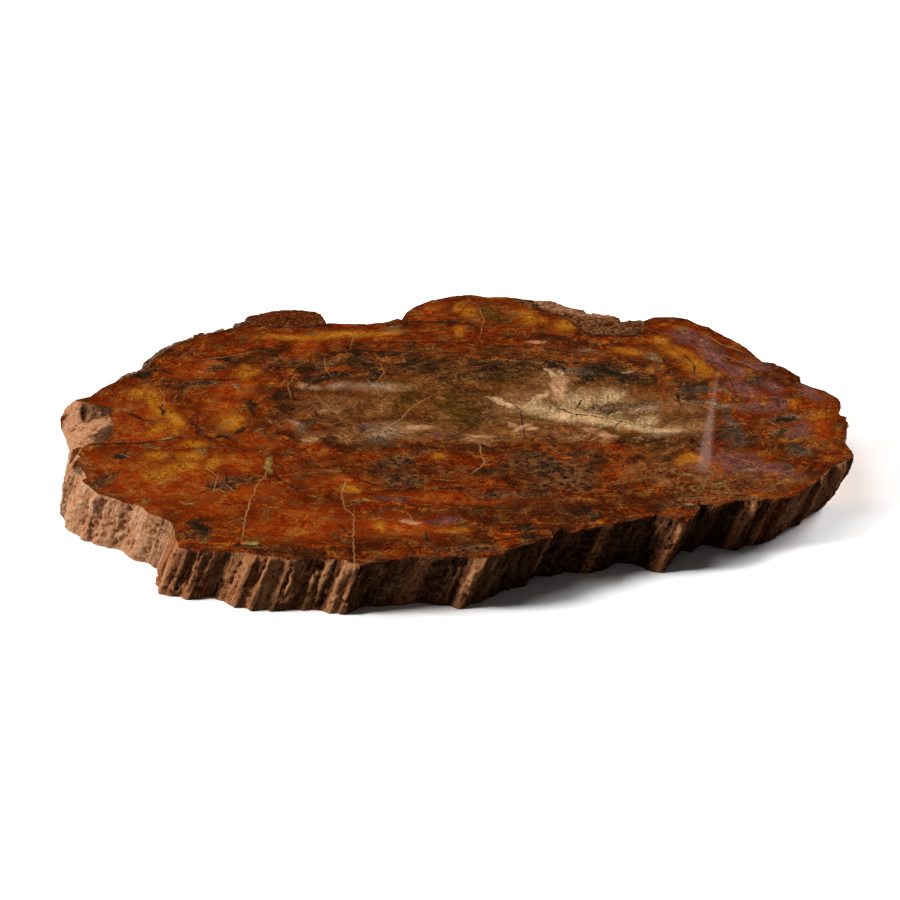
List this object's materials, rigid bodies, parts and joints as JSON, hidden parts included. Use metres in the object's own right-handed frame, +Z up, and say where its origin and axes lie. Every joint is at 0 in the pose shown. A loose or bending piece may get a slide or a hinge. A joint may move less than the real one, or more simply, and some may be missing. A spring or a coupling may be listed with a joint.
{
  "type": "petrified wood slice",
  "caption": "Slanting slice of a petrified log with a polished top, a rough fluted side and a flat sawn underside, for display on a table or shelf.",
  "frame": {"origin": "bottom centre of the slab's bounding box, on the sawn underside", "axes": "+X along the slab's length, with the low knob at the -X end; +Y to the back, across the slab; +Z up, out of the polished face"},
  "size_m": [0.712, 0.578, 0.05],
  "materials": {
    "petrified_wood": "polished on top, rough on the side, sawn below"
  },
  "bodies": {
    "root": {"petrified_slab": "petrified_wood"}
  },
  "joints": []
}
